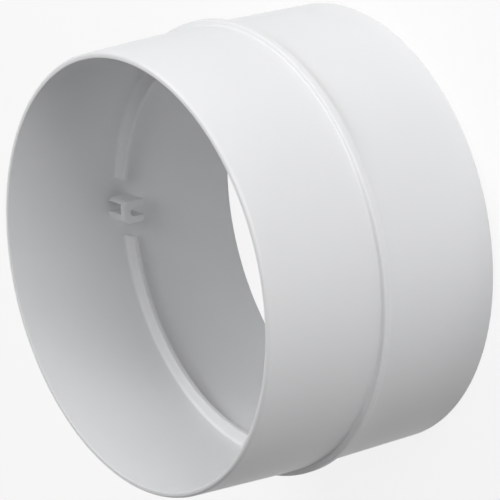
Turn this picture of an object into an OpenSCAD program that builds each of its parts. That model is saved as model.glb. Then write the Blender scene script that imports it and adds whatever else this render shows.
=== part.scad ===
// Straight push-fit connector for round ducting, moulded in one piece.
// It stands on one rim, with the duct axis along Z and the damper spindle line along Y.
// Both spigots taper from the bead to their rims, outside and inside, so that the moulding
// leaves its mould halves and its cores.

/* [Spigots] */
// Outer diameter of the parallel land beside the bead, where a duct grips
land_diameter = 100; // [80:1:160]
// Length of the parallel land on each spigot
land_length = 8; // [3:0.5:14]
// Length from rim to rim
overall_length = 61; // [40:1:100]
// Wall thickness at the rims
rim_wall = 1.3; // [1.2:0.1:2.4]
// Outside taper from the land to each rim, in degrees
outside_draft = 1.3; // [0.2:0.1:2]
// Inside taper from the middle to each rim, in degrees
inside_draft = 1.5; // [0.2:0.1:2]
// Rounding of each rim's outer edge, which leads a duct on
lead_in_radius = 0.8; // [0.3:0.1:0.9]
// Rounding of each rim's inner edge
inner_edge_radius = 0.2; // [0.1:0.05:0.3]

/* [Bead] */
// Width of the bead that the two ducts stop against
bead_width = 1.9; // [1.4:0.1:5]
// Height of the bead above the spigots
bead_height = 1.3; // [1.1:0.1:2.5]
// Rounding of the bead's crown edges
bead_edge_radius = 0.35; // [0.1:0.05:0.5]
// Fillet between the bead and each spigot
bead_fillet = 0.3; // [0.1:0.05:0.5]

/* [Stop ribs] */
// Height of the half-ring stop ribs above the inner wall
rib_height = 3; // [1.5:0.1:6]
// Thickness of each stop rib
rib_thickness = 1.2; // [0.8:0.1:3]
// Step along the axis between the facing sides of the two ribs, where a damper blade shuts
blade_gap = 0.7; // [0.4:0.1:3]
// Rounding of the ribs' crown edges
rib_edge_radius = 0.25; // [0.1:0.05:0.35]
// Fillet at the foot of the ribs
rib_fillet = 0.8; // [0.2:0.1:1.2]
// Distance from the spindle line to the ends of the ribs
rib_end_distance = 6.9; // [5:0.1:12]

/* [Spindle seats] */
// Height of the spindle line above the middle
spindle_offset = 0.6; // [-2:0.1:2]
// Width of the slot that a damper spindle snaps into
slot_width = 2.3; // [1.5:0.1:3]
// Thickness of the two cheeks beside the slot
cheek_thickness = 1.4; // [1:0.1:2.2]
// Length of the cheeks below the spindle line
cheek_length = 2.4; // [1.5:0.1:6]
// Thickness of the back that closes the slot from above
back_thickness = 1.8; // [1:0.1:3]
// Rounding of the back's two outer corners
back_radius = 1.4; // [0.3:0.1:2]
// Reach of the seats in from the wall
seat_reach = 6.1; // [4:0.1:12]
// Thickness of the bridge at each seat's inner end, with the pocket behind it
bridge_thickness = 1.4; // [0.8:0.1:2.5]
// Width of the pocket cored into the seat from above
pocket_width = 2.4; // [1:0.1:3.5]
// Depth of the pocket below the top of the back
pocket_depth = 2.6; // [0.5:0.1:2.8]
// Thickness of the wall left beside the pocket
pocket_wall = 0.7; // [0.5:0.1:1.2]

/* [Hidden] */
$fn = 180;

// Depth that the ribs and seats run into the wall they stand on
root_depth = 0.6;
// Steps in each rounded edge of a turned profile
arc_steps = 6;

mid_height = overall_length / 2;
land_radius = land_diameter / 2;
crown_radius = land_radius + bead_height;
bead_half = bead_width / 2;
land_start = bead_half + bead_fillet;
taper_start = bead_half + land_length;

// Radius of the tapered outer wall at a height from the middle
function outer_at(h) = land_radius - (h - taper_start) * tan(outside_draft);
rim_radius = outer_at(mid_height);
bore_mid_radius = rim_radius - rim_wall - mid_height * tan(inside_draft);
// Radius of the inner wall at a height from the middle
function bore_at(h) = bore_mid_radius + h * tan(inside_draft);

rib_crown_radius = bore_mid_radius - rib_height;
rib_offset = (blade_gap + rib_thickness) / 2;

spindle_height = mid_height + spindle_offset;
slot_half = slot_width / 2;
seat_half = slot_half + cheek_thickness;
seat_top = slot_half + back_thickness;
seat_inner = bore_mid_radius - seat_reach;
seat_length = seat_reach + root_depth;

// Points along an arc about a centre, from one angle to another
function arc(centre, radius, from, to) = [
    for (i = [0:arc_steps])
        let (angle = from + (to - from) * i / arc_steps)
        centre + radius * [cos(angle), sin(angle)]
];
function flipped(path) = [for (i = [len(path) - 1:-1:0]) [path[i][0], -path[i][1]]];

// Centres of the rim's two edge roundings, set so that each meets its tapered wall smoothly
lead_in_height = mid_height - lead_in_radius;
lead_in_centre = [
    outer_at(lead_in_height + lead_in_radius * sin(outside_draft)) - lead_in_radius * cos(outside_draft),
    lead_in_height
];
inner_edge_height = mid_height - inner_edge_radius;
inner_edge_centre = [
    bore_at(inner_edge_height + inner_edge_radius * sin(inside_draft)) + inner_edge_radius * cos(inside_draft),
    inner_edge_height
];

// Half of the tube's section, from the bead's crown over the rim to the middle of the bore
half_section = concat(
    arc([crown_radius - bead_edge_radius, bead_half - bead_edge_radius], bead_edge_radius, 0, 90),
    arc([land_radius + bead_fillet, land_start], bead_fillet, 270, 180),
    [[land_radius, taper_start]],
    arc(lead_in_centre, lead_in_radius, outside_draft, 90),
    arc(inner_edge_centre, inner_edge_radius, 90, 180 - inside_draft),
    [[bore_mid_radius, 0]]
);

// Upper half of a rib's section, from the fillet on the wall to the crown
rib_half = rib_thickness / 2;
rib_half_section = concat(
    [[bore_mid_radius + root_depth, rib_half + rib_fillet]],
    arc([bore_mid_radius - rib_fillet, rib_half + rib_fillet], rib_fillet, 0, -90),
    arc([rib_crown_radius + rib_edge_radius, rib_half - rib_edge_radius], rib_edge_radius, 90, 180)
);

module tube() {
    translate([0, 0, mid_height])
    rotate_extrude()
    polygon(concat(half_section, flipped(half_section)));
}

// Half ring on one side of the spindle line, side = 1 above the blade and -1 below it
module rib(side) {
    reach = bore_mid_radius + root_depth;
    half_ring_height = rib_thickness + 2 * rib_fillet;
    translate([0, 0, mid_height + side * rib_offset])
    intersection() {
        rotate_extrude()
        polygon(concat(rib_half_section, flipped(rib_half_section)));
        translate([side > 0 ? rib_end_distance : -rib_end_distance - reach, -reach, -half_ring_height / 2])
        cube([reach, 2 * reach, half_ring_height]);
    }
}

// Seat seen along the spindle, which lies at the origin: a hook that opens downward
module seat_outline() {
    flat_half = seat_half - back_radius;
    difference() {
        union() {
            translate([-seat_half, -cheek_length])
            square([2 * seat_half, cheek_length + seat_top - back_radius]);
            translate([-flat_half, -cheek_length])
            square([2 * flat_half, cheek_length + seat_top]);
            for (side = [-1, 1])
                translate([side * flat_half, seat_top - back_radius])
                circle(r = back_radius);
        }
        circle(r = slot_half);
        translate([-slot_half, -2 * cheek_length])
        square([slot_width, 2 * cheek_length]);
    }
}

// Seat at the +Y end of the spindle, with the pocket that thins it behind the bridge
module spindle_seat() {
    difference() {
        translate([0, seat_inner + seat_length, spindle_height])
        rotate([90, 0, 0])
        linear_extrude(height = seat_length)
        seat_outline();
        translate([
            seat_half - pocket_wall - pocket_width,
            seat_inner + bridge_thickness,
            spindle_height + seat_top - pocket_depth
        ])
        cube([pocket_width, seat_length, 2 * pocket_depth]);
    }
}

module connector() {
    color("white")
    union() {
        tube();
        rib(1);
        rib(-1);
        spindle_seat();
        mirror([0, 1, 0])
        spindle_seat();
    }
}

connector();
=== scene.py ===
# Looks of the round duct connector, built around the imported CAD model. Sizes in the dictionaries
# are in millimetres and degrees, and everything handed to Blender is in metres.
import math

import bpy
from mathutils import Matrix, Vector


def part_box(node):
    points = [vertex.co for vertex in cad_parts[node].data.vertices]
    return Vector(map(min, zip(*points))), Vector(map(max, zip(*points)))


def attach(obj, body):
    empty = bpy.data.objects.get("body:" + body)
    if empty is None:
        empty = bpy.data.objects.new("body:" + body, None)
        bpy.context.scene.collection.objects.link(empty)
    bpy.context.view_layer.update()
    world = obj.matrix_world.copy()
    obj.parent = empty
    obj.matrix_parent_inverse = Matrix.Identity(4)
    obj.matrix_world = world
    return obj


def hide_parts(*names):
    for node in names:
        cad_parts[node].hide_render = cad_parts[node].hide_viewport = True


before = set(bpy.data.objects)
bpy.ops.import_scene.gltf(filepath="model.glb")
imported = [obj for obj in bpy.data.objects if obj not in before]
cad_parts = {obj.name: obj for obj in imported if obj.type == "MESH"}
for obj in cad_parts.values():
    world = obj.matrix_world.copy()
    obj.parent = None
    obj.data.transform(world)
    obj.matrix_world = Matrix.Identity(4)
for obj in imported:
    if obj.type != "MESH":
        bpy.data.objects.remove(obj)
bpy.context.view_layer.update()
mm = 0.001
boxLow, boxHigh = [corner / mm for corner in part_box("connector")]
print("frame loaded, CAD box in mm:", [round(v, 2) for v in (*boxLow, *boxHigh)])


# Helpers for nodes and meshes
class Value:
    # a node's output that can stand in a sum or a product
    def __init__(self, maker, socket):
        self.maker = maker
        self.socket = socket

    def combine(self, operation, first, second):
        return self.maker.node("ShaderNodeMath", dict(operation=operation), {0: first, 1: second})

    def __add__(self, other):
        return self.combine("ADD", self, other)

    def __sub__(self, other):
        return self.combine("SUBTRACT", self, other)

    def __rsub__(self, other):
        return self.combine("SUBTRACT", other, self)

    def __mul__(self, other):
        return self.combine("MULTIPLY", self, other)

    __radd__ = __add__
    __rmul__ = __mul__


class NodeMaker:
    # adds nodes to one tree: their settings are set first, then their sockets are filled
    def __init__(self, tree):
        self.tree = tree

    def node(self, kind, settings=None, inputs=None, output=0):
        made = self.tree.nodes.new(kind)
        for name, setting in (settings or {}).items():
            setattr(made, name, setting)
        for key, given in (inputs or {}).items():
            for one in given if isinstance(given, list) else [given]:
                if isinstance(one, Value):
                    self.tree.links.new(one.socket, made.inputs[key])
                else:
                    made.inputs[key].default_value = one
        return Value(self, made.outputs[output]) if made.outputs else None


def geometryTree(name, sockets):
    # an empty Geometry Nodes tree with named inputs
    tree = bpy.data.node_groups.new(name, "GeometryNodeTree")
    tree.interface.new_socket("Geometry", in_out="OUTPUT", socket_type="NodeSocketGeometry")
    tree.interface.new_socket("Geometry", in_out="INPUT", socket_type="NodeSocketGeometry")
    for label, kind in sockets.items():
        tree.interface.new_socket(label, in_out="INPUT", socket_type="NodeSocket" + kind)
    maker = NodeMaker(tree)
    source = tree.nodes.new("NodeGroupInput")
    return maker, {s.name: Value(maker, s) for s in source.outputs if s.name}


def finishTree(maker, geometry, material):
    solid = maker.node("GeometryNodeRealizeInstances", inputs={0: geometry})
    solid = maker.node("GeometryNodeSetMaterial", inputs={"Geometry": solid, "Material": material})
    maker.node("NodeGroupOutput", inputs={0: solid})
    return maker.tree


def sectionObject(name, corners):
    # closed outline from corners of (across, along, rounding), each in mm
    mesh = bpy.data.meshes.new(name)
    points = [(across * mm, along * mm, 0) for across, along, _ in corners]
    mesh.from_pydata(points, [(i, (i + 1) % len(points)) for i in range(len(points))], [])
    rounding = mesh.attributes.new("rounding", "FLOAT", "POINT")
    rounding.data.foreach_set("value", [radius * mm for _, _, radius in corners])
    made = bpy.data.objects.new(name, mesh)
    bpy.context.scene.collection.objects.link(made)
    return made


def runTree(source, tree, inputs):
    # runs a tree on the source object and turns the result into the object's own plain mesh
    modifier = source.modifiers.new(tree.name, "NODES")
    modifier.node_group = tree
    for item in tree.interface.items_tree:
        if item.in_out == "INPUT" and item.name in inputs:
            modifier[item.identifier] = inputs[item.name]
    return applyModifiers(source)


def applyModifiers(source):
    graph = bpy.context.evaluated_depsgraph_get()
    mesh = bpy.data.meshes.new_from_object(source.evaluated_get(graph))
    source.modifiers.clear()
    source.data = mesh
    return source


# The plastic
plasticLook = dict(
    dullWhite=(0.8, 0.806, 0.815, 1),
    brightWhite=(0.84, 0.845, 0.852, 1),
    patchScale=28,
    grainScale=1500,
    streakScale=700,
    streakStretch=0.03,
    roughness=0.34,
    patchRoughness=0.08,
    streakRoughness=0.06,
    insideRoughness=0.08,
    insideRadius=48.7,
    bumpHeight=0.04,
    bumpStrength=0.25,
)


def whitePlastic():
    # moulded white plastic: soft patches of sheen, fine grain and faint draw marks along the axis
    look = plasticLook
    material = bpy.data.materials.new("whitePlastic")
    material.use_nodes = True
    material.node_tree.nodes.clear()
    maker = NodeMaker(material.node_tree)
    place = maker.node("ShaderNodeTexCoord", output="Object")
    patches = maker.node("ShaderNodeTexNoise", inputs={"Vector": place, "Scale": look["patchScale"]})
    grain = maker.node("ShaderNodeTexNoise", inputs={"Vector": place, "Scale": look["grainScale"]})
    drawn = maker.node("ShaderNodeMapping", inputs={"Vector": place, "Scale": (1, 1, look["streakStretch"])})
    streaks = maker.node("ShaderNodeTexNoise", inputs={"Vector": drawn, "Scale": look["streakScale"]})
    across = maker.node("ShaderNodeSeparateXYZ", inputs={0: place}, output="X")
    along = maker.node("ShaderNodeSeparateXYZ", inputs={0: place}, output="Y")
    inside = maker.node(
        "ShaderNodeMath",
        dict(operation="LESS_THAN"),
        {0: across * across + along * along, 1: (look["insideRadius"] * mm) ** 2},
    )
    colour = maker.node(
        "ShaderNodeMix",
        dict(data_type="RGBA"),
        {0: patches, 6: look["dullWhite"], 7: look["brightWhite"]},
        output=2,
    )
    roughness = (
        patches * look["patchRoughness"]
        + streaks * look["streakRoughness"]
        + inside * look["insideRoughness"]
        + look["roughness"]
    )
    bump = maker.node(
        "ShaderNodeBump",
        inputs={
            "Height": grain + streaks,
            "Distance": look["bumpHeight"] * mm,
            "Strength": look["bumpStrength"],
        },
    )
    shader = maker.node(
        "ShaderNodeBsdfPrincipled",
        inputs={"Base Color": colour, "Roughness": roughness, "Normal": bump},
    )
    maker.node("ShaderNodeOutputMaterial", inputs={"Surface": shader})
    return material


plastic = whitePlastic()

# The moulding
wallSize = dict(
    beadHeight=1.3,
    beadWidth=1.9,
    beadEdgeRounding=0.35,
    beadFillet=0.3,
    landLength=8,
    rimWall=1.3,
    outsideDraft=1.3,
    insideDraft=1.5,
    leadInRounding=0.8,
    rimInnerRounding=0.2,
    segments=360,
    filletSteps=5,
)
ribSize = dict(
    height=3,
    thickness=1.2,
    step=0.7,
    crownRounding=0.25,
    footFillet=0.8,
    endDistance=6.9,
    endRounding=0.15,
    root=0.6,
)
seatSize = dict(
    spindleOffset=0.6,
    slotWidth=2.3,
    cheekThickness=1.4,
    cheekLength=2.4,
    backThickness=1.8,
    backRounding=1.4,
    reach=6.1,
    bridge=1.4,
    pocketWidth=2.4,
    pocketDepth=2.6,
    pocketWall=0.7,
    edgeRounding=0.2,
    root=0.6,
)

crownRadius = min(boxHigh.x, boxHigh.y, -boxLow.x, -boxLow.y)
landRadius = crownRadius - wallSize["beadHeight"]
middle = (boxLow.z + boxHigh.z) / 2
halfLength = (boxHigh.z - boxLow.z) / 2
beadHalf = wallSize["beadWidth"] / 2
landEnd = beadHalf + wallSize["landLength"]
rimRadius = landRadius - (halfLength - landEnd) * math.tan(math.radians(wallSize["outsideDraft"]))
insideSlope = math.tan(math.radians(wallSize["insideDraft"]))
boreAtMiddle = rimRadius - wallSize["rimWall"] - halfLength * insideSlope


def boreAt(height):
    # radius of the inner wall at a height from the middle
    return boreAtMiddle + abs(height) * insideSlope


def outlineNodes(maker, given, shift=None):
    # the section as a curve with its corners rounded, upright for a rail that lies flat
    outline = maker.node("GeometryNodeMeshToCurve", inputs={"Mesh": given["Geometry"]})
    rounding = maker.node("GeometryNodeInputNamedAttribute", dict(data_type="FLOAT"), {"Name": "rounding"})
    outline = maker.node(
        "GeometryNodeFilletCurve",
        dict(mode="POLY"),
        {"Curve": outline, "Count": given["Fillet steps"], "Radius": rounding, "Limit Radius": True},
    )
    upright = {"Geometry": outline, "Scale": (1, -1, 1)}
    if shift:
        upright["Translation"] = shift
    return maker.node("GeometryNodeTransform", inputs=upright)


def turnNodes(maker, given):
    # turns a section, drawn as radius and height, round the Z axis
    inward = maker.node("ShaderNodeCombineXYZ", inputs={"X": given["Ring radius"] * -1})
    outline = outlineNodes(maker, given, inward)
    ring = maker.node(
        "GeometryNodeCurvePrimitiveCircle",
        inputs={"Resolution": given["Segments"], "Radius": given["Ring radius"]},
    )
    turned = maker.node("GeometryNodeCurveToMesh", inputs={"Curve": ring, "Profile Curve": outline})
    return maker.node("GeometryNodeFlipFaces", inputs={"Mesh": turned})


def wallTree():
    sockets = {"Segments": "Int", "Fillet steps": "Int", "Ring radius": "Float"}
    maker, given = geometryTree("turnWall", sockets)
    return finishTree(maker, turnNodes(maker, given), plastic)


def ribTree():
    # a turned ring, of which a box keeps the part on one side of the spindle line
    sockets = {"Segments": "Int", "Fillet steps": "Int", "Ring radius": "Float", "Height": "Float"}
    sockets |= {"End distance": "Float", "Side": "Float", "Box size": "Float"}
    maker, given = geometryTree("turnHalfRing", sockets)
    turned = turnNodes(maker, given)
    boxSize = maker.node("ShaderNodeCombineXYZ", inputs={k: given["Box size"] for k in "XYZ"})
    box = maker.node("GeometryNodeMeshCube", inputs={"Size": boxSize})
    boxMiddle = (given["Box size"] * 0.5 + given["End distance"]) * given["Side"]
    aside = maker.node("ShaderNodeCombineXYZ", inputs={"X": boxMiddle})
    box = maker.node("GeometryNodeTransform", inputs={"Geometry": box, "Translation": aside})
    kept = maker.node(
        "GeometryNodeMeshBoolean",
        dict(operation="INTERSECT", solver="MANIFOLD"),
        {"Mesh 2": [turned, box]},
    )
    upward = maker.node("ShaderNodeCombineXYZ", inputs={"Z": given["Height"]})
    kept = maker.node("GeometryNodeTransform", inputs={"Geometry": kept, "Translation": upward})
    return finishTree(maker, kept, plastic)


def seatTree():
    # the hook's outline drawn out along Y, less the pocket behind its bridge
    sockets = {"Fillet steps": "Int", "Inner end": "Float", "Outer end": "Float", "Height": "Float"}
    sockets |= {"Pocket size": "Vector", "Pocket middle": "Vector"}
    maker, given = geometryTree("drawSeat", sockets)
    start = maker.node("ShaderNodeCombineXYZ", inputs={"Y": given["Inner end"], "Z": given["Height"]})
    end = maker.node("ShaderNodeCombineXYZ", inputs={"Y": given["Outer end"], "Z": given["Height"]})
    rail = maker.node("GeometryNodeCurvePrimitiveLine", inputs={"Start": start, "End": end})
    outline = outlineNodes(maker, given)
    hook = maker.node(
        "GeometryNodeCurveToMesh",
        inputs={"Curve": rail, "Profile Curve": outline, "Fill Caps": True},
    )
    hook = maker.node("GeometryNodeFlipFaces", inputs={"Mesh": hook})
    pocket = maker.node("GeometryNodeMeshCube", inputs={"Size": given["Pocket size"]})
    pocket = maker.node(
        "GeometryNodeTransform",
        inputs={"Geometry": pocket, "Translation": given["Pocket middle"]},
    )
    hook = maker.node(
        "GeometryNodeMeshBoolean",
        dict(operation="DIFFERENCE", solver="MANIFOLD"),
        {"Mesh 1": hook, "Mesh 2": pocket},
    )
    return finishTree(maker, hook, plastic)


def fuseTree(count):
    # fuses other pieces into this one, as the moulding is one piece of plastic
    sockets = {f"Part {i + 1}": "Object" for i in range(count)}
    maker, given = geometryTree("fuseMoulding", sockets)
    parts = [
        maker.node("GeometryNodeObjectInfo", inputs={"Object": given[label]}, output="Geometry")
        for label in sockets
    ]
    fused = maker.node(
        "GeometryNodeMeshBoolean",
        dict(operation="UNION", solver="MANIFOLD"),
        {"Mesh 2": [given["Geometry"], *parts]},
    )
    return finishTree(maker, fused, plastic)


def wallCorners():
    # half of the wall's section from the bead over the rim to the middle of the bore, then its mirror
    size = wallSize
    half = [
        (crownRadius, beadHalf, size["beadEdgeRounding"]),
        (landRadius, beadHalf, size["beadFillet"]),
        (landRadius, landEnd, 0),
        (rimRadius, halfLength, size["leadInRounding"]),
        (rimRadius - size["rimWall"], halfLength, size["rimInnerRounding"]),
        (boreAt(halfLength / 3), halfLength / 3, 0),
        (boreAt(seatReachDown), seatReachDown, 0),
    ]
    return half + [(boreAtMiddle, 0, 0)] + [(r, -h, rounding) for r, h, rounding in reversed(half)]


def ribCorners(side):
    # section of one rib round its own middle height
    size = ribSize
    half = size["thickness"] / 2
    foot = half + size["footFillet"]
    lift = side * (size["step"] + size["thickness"]) / 2
    crown = boreAtMiddle - size["height"]
    return [
        (crown, half, size["crownRounding"]),
        (crown, -half, size["crownRounding"]),
        (boreAt(lift - half), -half, size["footFillet"]),
        (boreAt(lift - foot), -foot, 0),
        (boreAtMiddle + size["root"], -foot, 0),
        (boreAtMiddle + size["root"], foot, 0),
        (boreAt(lift + foot), foot, 0),
        (boreAt(lift + half), half, size["footFillet"]),
    ]


def seatCorners():
    # the hook seen along the spindle, which lies at its origin
    size = seatSize
    slot = size["slotWidth"] / 2
    half = slot + size["cheekThickness"]
    top = slot + size["backThickness"]
    low = -size["cheekLength"]
    return [
        (slot, low, 0),
        (half, low, 0),
        (half, top, size["backRounding"]),
        (-half, top, size["backRounding"]),
        (-half, low, 0),
        (-slot, low, 0),
        (-slot, slot, slot),
        (slot, slot, slot),
    ]


def makeRib(side):
    size = ribSize
    rib = sectionObject("rib", ribCorners(side))
    inputs = {
        "Segments": wallSize["segments"],
        "Fillet steps": wallSize["filletSteps"],
        "Ring radius": boreAtMiddle * mm,
        "Height": (middle + side * (size["step"] + size["thickness"]) / 2) * mm,
        "End distance": size["endDistance"] * mm,
        "Side": float(side),
        "Box size": 2 * crownRadius * mm,
    }
    runTree(rib, halfRing, inputs)
    return roundEdges(rib, size["endRounding"])


def makeSeat(side):
    size = seatSize
    seat = sectionObject("seat", seatCorners())
    inner = boreAtMiddle - size["reach"]
    outer = boreAtMiddle + size["root"]
    spindle = middle + size["spindleOffset"]
    half = size["slotWidth"] / 2 + size["cheekThickness"]
    top = spindle + size["slotWidth"] / 2 + size["backThickness"]
    pocketLength = 2 * size["reach"]
    inputs = {
        "Fillet steps": wallSize["filletSteps"],
        "Inner end": inner * mm,
        "Outer end": outer * mm,
        "Height": spindle * mm,
        "Pocket size": Vector((size["pocketWidth"], pocketLength, 2 * size["pocketDepth"])) * mm,
        "Pocket middle": Vector((
            half - size["pocketWall"] - size["pocketWidth"] / 2,
            inner + size["bridge"] + pocketLength / 2,
            top,
        )) * mm,
    }
    runTree(seat, drawSeat, inputs)
    roundEdges(seat, size["edgeRounding"])
    if side < 0:
        seat.data.transform(Matrix.Diagonal((1, -1, 1, 1)))
        seat.data.flip_normals()
    return seat


def roundEdges(piece, radius):
    # softens the sharp edges and leaves the turned roundings as they are
    modifier = piece.modifiers.new("roundEdges", "BEVEL")
    modifier.width = radius * mm
    modifier.segments = 2
    modifier.limit_method = "ANGLE"
    modifier.angle_limit = math.radians(50)
    return applyModifiers(piece)


def makeConnector():
    wall = sectionObject("connectorMoulding", wallCorners())
    inputs = {
        "Segments": wallSize["segments"],
        "Fillet steps": wallSize["filletSteps"],
        "Ring radius": boreAtMiddle * mm,
    }
    runTree(wall, wallTree(), inputs)
    wall.data.transform(Matrix.Translation((0, 0, middle * mm)))
    parts = [makeRib(1), makeRib(-1), makeSeat(1), makeSeat(-1)]
    runTree(wall, fuseTree(len(parts)), {f"Part {i + 1}": part for i, part in enumerate(parts)})
    for part in parts:
        bpy.data.objects.remove(part)
    wall.data.shade_smooth()
    wall.data.set_sharp_from_angle(angle=math.radians(35))
    return wall


seatReachDown = 6
halfRing = ribTree()
drawSeat = seatTree()
connector = makeConnector()
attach(connector, "root")
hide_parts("connector")
print("moulding made,", len(connector.data.polygons), "faces")


# Floor, light and camera
studio = dict(floorSize=6000, floorWhite=0.9, backgroundShare=0.85, worldLight=0.08)
lamps = dict(
    key=dict(azimuth=-55, elevation=8, distance=1000, size=400, power=4.2),
    side=dict(azimuth=30, elevation=36, distance=1000, size=300, power=3.1),
    top=dict(azimuth=-45, elevation=54, distance=1000, size=400, power=1.7),
    high=dict(azimuth=15, elevation=57, distance=1000, size=400, power=1.9),
    back=dict(azimuth=120, elevation=12, distance=1000, size=600, power=1.2),
)
photoView = dict(aim=(-0.4, -0.7, 29.8), distance=1207.5, azimuth=20, elevation=34.04, roll=104, lens=394.65)


def makeFloor():
    half = studio["floorSize"] / 2 * mm
    mesh = bpy.data.meshes.new("floor")
    mesh.from_pydata([(-half, -half, 0), (half, -half, 0), (half, half, 0), (-half, half, 0)], [], [(0, 1, 2, 3)])
    floor = bpy.data.objects.new("floor", mesh)
    bpy.context.scene.collection.objects.link(floor)
    material = bpy.data.materials.new("floorWhite")
    material.use_nodes = True
    material.node_tree.nodes.clear()
    maker = NodeMaker(material.node_tree)
    white = (studio["floorWhite"],) * 3 + (1,)
    lit = maker.node("ShaderNodeBsdfDiffuse", inputs={"Color": white})
    plain = maker.node("ShaderNodeEmission", inputs={"Color": (1, 1, 1, 1), "Strength": 1})
    seen = seenDirectly(maker) * studio["backgroundShare"]
    mixed = maker.node("ShaderNodeMixShader", inputs={0: seen, 1: lit, 2: plain})
    maker.node("ShaderNodeOutputMaterial", inputs={"Surface": mixed})
    mesh.materials.append(material)


def seenDirectly(maker):
    # 1 for what the camera sees, also in a reflection or through something clear
    kinds = ["Is Camera Ray", "Is Glossy Ray", "Is Transmission Ray"]
    rays = [maker.node("ShaderNodeLightPath", output=kind) for kind in kinds]
    total = rays[0] + rays[1] + rays[2]
    return maker.node("ShaderNodeMath", dict(operation="MINIMUM"), {0: total, 1: 1.0})


def makeWorld():
    world = bpy.data.worlds.new("studio")
    bpy.context.scene.world = world
    world.use_nodes = True
    world.node_tree.nodes.clear()
    maker = NodeMaker(world.node_tree)
    seen = seenDirectly(maker)
    strength = seen * (1 - studio["worldLight"]) + studio["worldLight"]
    sky = maker.node("ShaderNodeBackground", inputs={"Color": (1, 1, 1, 1), "Strength": strength})
    maker.node("ShaderNodeOutputWorld", inputs={"Surface": sky})


def makeLamp(name, lamp):
    light = bpy.data.lights.new(name, "AREA")
    light.size = lamp["size"] * mm
    light.energy = lamp["power"]
    made = bpy.data.objects.new(name, light)
    bpy.context.scene.collection.objects.link(made)
    azimuth, elevation = math.radians(lamp["azimuth"]), math.radians(lamp["elevation"])
    across = math.cos(elevation)
    direction = Vector((across * math.cos(azimuth), across * math.sin(azimuth), math.sin(elevation)))
    made.location = (direction * lamp["distance"] + Vector((0, 0, middle))) * mm
    made.rotation_mode = "QUATERNION"
    made.rotation_quaternion = direction.to_track_quat("Z", "Y")


def makeCamera():
    view = photoView
    azimuth, elevation = math.radians(view["azimuth"]), math.radians(view["elevation"])
    back = Vector((
        math.sin(azimuth) * math.cos(elevation),
        -math.cos(azimuth) * math.cos(elevation),
        math.sin(elevation),
    ))
    data = bpy.data.cameras.new("photoCamera")
    data.sensor_width = 36
    data.lens = view["lens"]
    data.clip_start, data.clip_end = 0.05, 20
    camera = bpy.data.objects.new("photoCamera", data)
    bpy.context.scene.collection.objects.link(camera)
    turn = (-back).to_track_quat("-Z", "Y").to_matrix() @ Matrix.Rotation(-math.radians(view["roll"]), 3, "Z")
    camera.matrix_world = turn.to_4x4()
    camera.location = (Vector(view["aim"]) + back * view["distance"]) * mm
    bpy.context.scene.camera = camera


makeFloor()
makeWorld()
for lampName, lampValues in lamps.items():
    makeLamp(lampName, lampValues)
makeCamera()
bpy.context.scene.view_settings.view_transform = "Standard"
print("floor, light and camera set")
